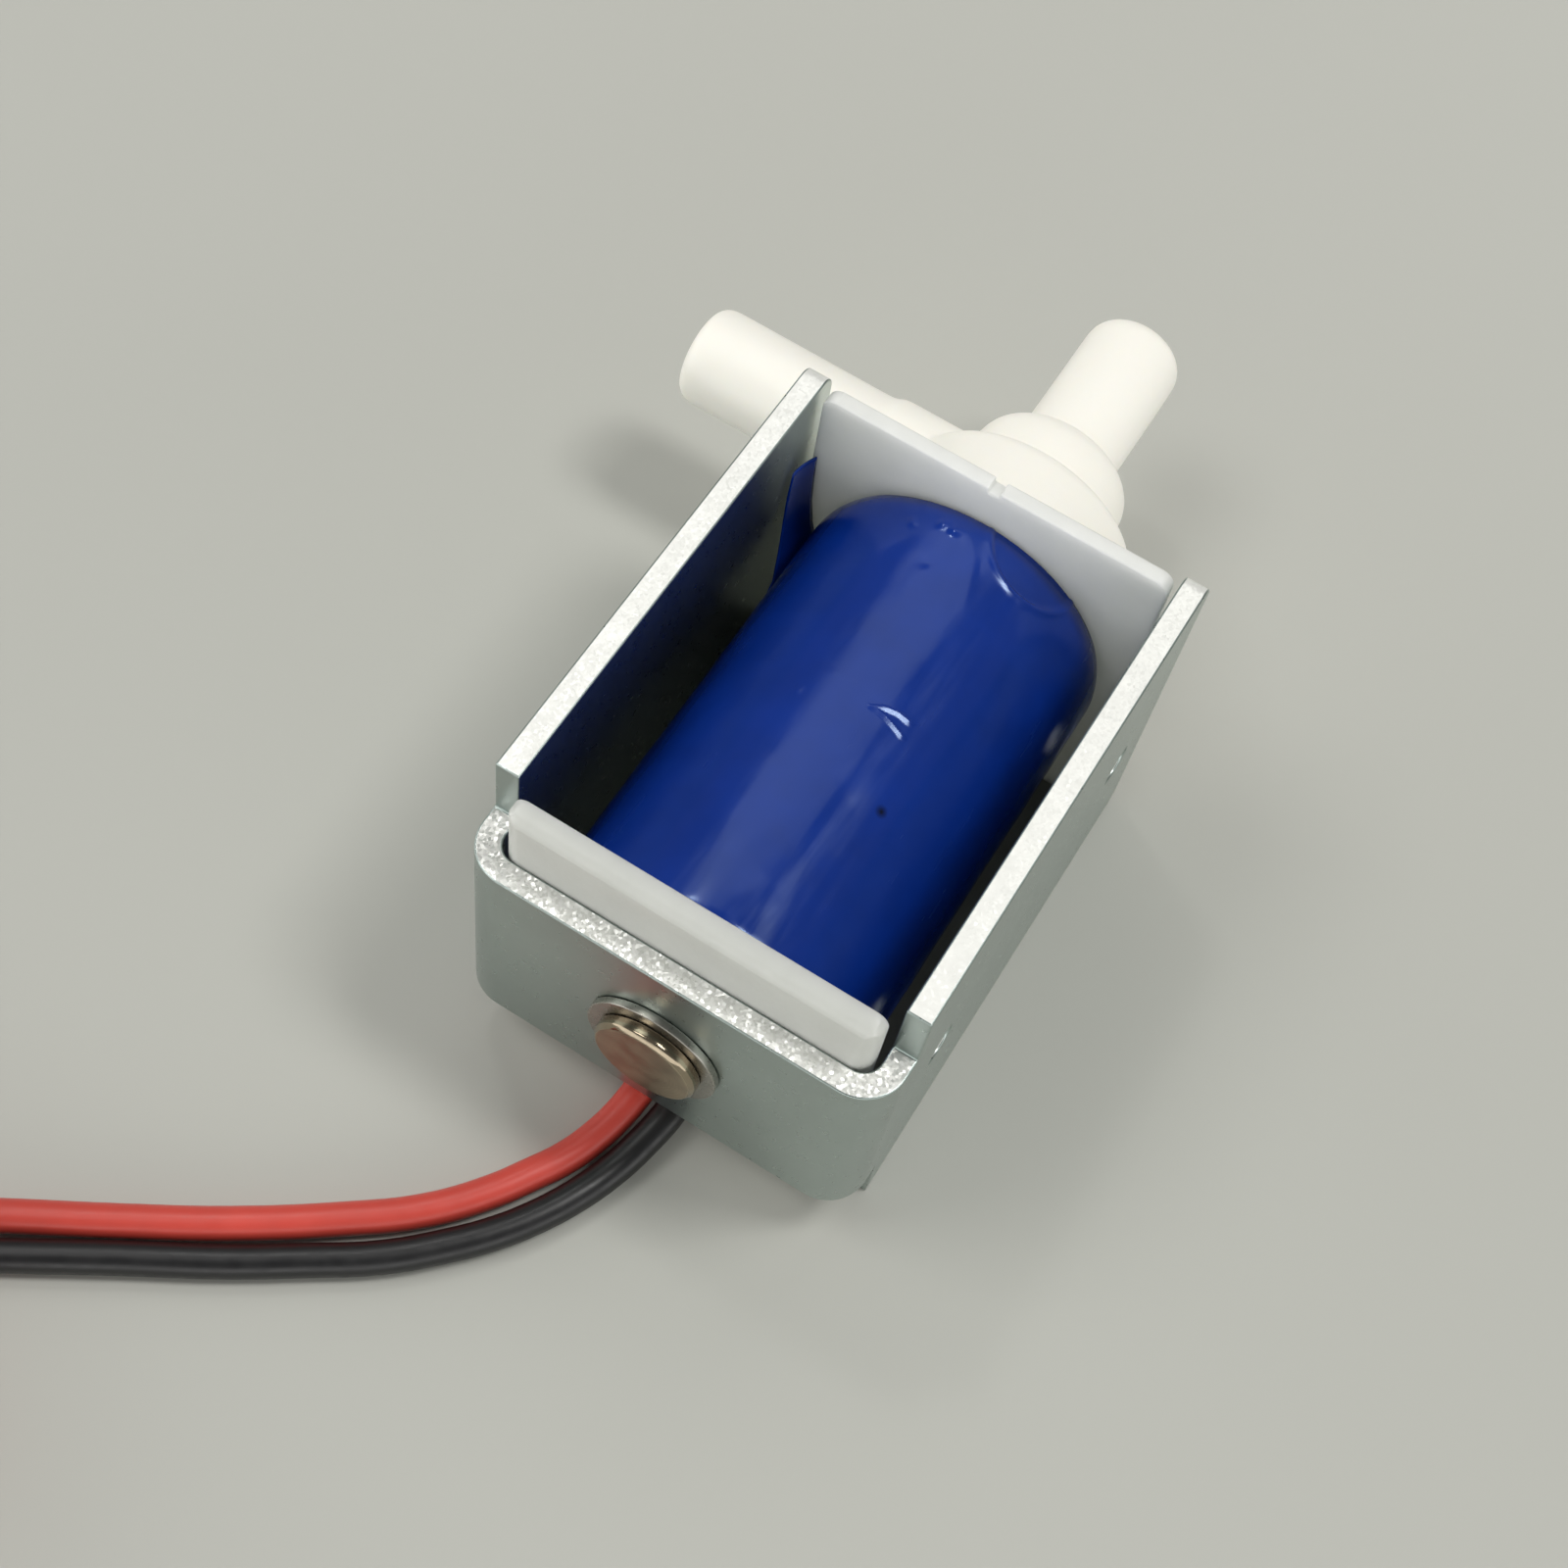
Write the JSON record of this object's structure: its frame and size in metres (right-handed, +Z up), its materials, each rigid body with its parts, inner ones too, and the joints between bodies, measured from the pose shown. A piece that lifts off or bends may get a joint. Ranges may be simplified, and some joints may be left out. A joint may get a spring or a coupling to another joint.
{
  "type": "micro solenoid valve",
  "caption": "Small normally closed solenoid valve: U-shaped steel frame, blue taped coil on a white bobbin, plastic valve end with axial and side hose nozzles, red and black leads.",
  "frame": {"origin": "middle of the frame's footprint, on the surface that the valve lies on", "axes": "+X across the frame, away from the side nozzle; +Y along the valve's axis, from the frame's web to the axial nozzle; +Z up"},
  "size_m": [0.0482, 0.0918, 0.0204],
  "materials": {
    "plated_steel": "satin",
    "bobbin_plastic": "satin",
    "copper_wire": "gloss",
    "blue_film": "gloss",
    "nickel_iron": "satin",
    "spring_steel": "gloss",
    "seal_rubber": "matte",
    "cream_nylon": "satin",
    "tinned_copper": "gloss",
    "red_insulation": "satin",
    "black_insulation": "satin",
    "tie_plastic": "matte"
  },
  "bodies": {
    "valve": {"frame": "plated_steel", "bobbin": "bobbin_plastic", "winding": "copper_wire", "coil_tape": "blue_film", "fixed_core": "nickel_iron", "retaining_ring": "spring_steel", "core_seal_ring": "seal_rubber", "return_spring": "spring_steel", "valve_body": "cream_nylon", "body_seal_ring": "seal_rubber", "red_joint": "tinned_copper", "black_joint": "tinned_copper", "red_lead": "red_insulation", "black_lead": "black_insulation", "lead_coil": "red_insulation", "lead_tie": "tie_plastic", "red_tail": "red_insulation", "black_tail": "black_insulation", "red_tip": "tinned_copper", "black_tip": "tinned_copper"},
    "plunger": {"plunger": "nickel_iron", "plunger_seal": "seal_rubber"}
  },
  "joints": [
    {"name": "plunger_slide", "type": "slide", "parent": "valve", "child": "plunger", "axis": [0, -1, 0], "range_m": [0, 0.0012], "stiffness_N_per_m": 120, "springref_m": -0.003, "deforming": ["return_spring"]}
  ]
}
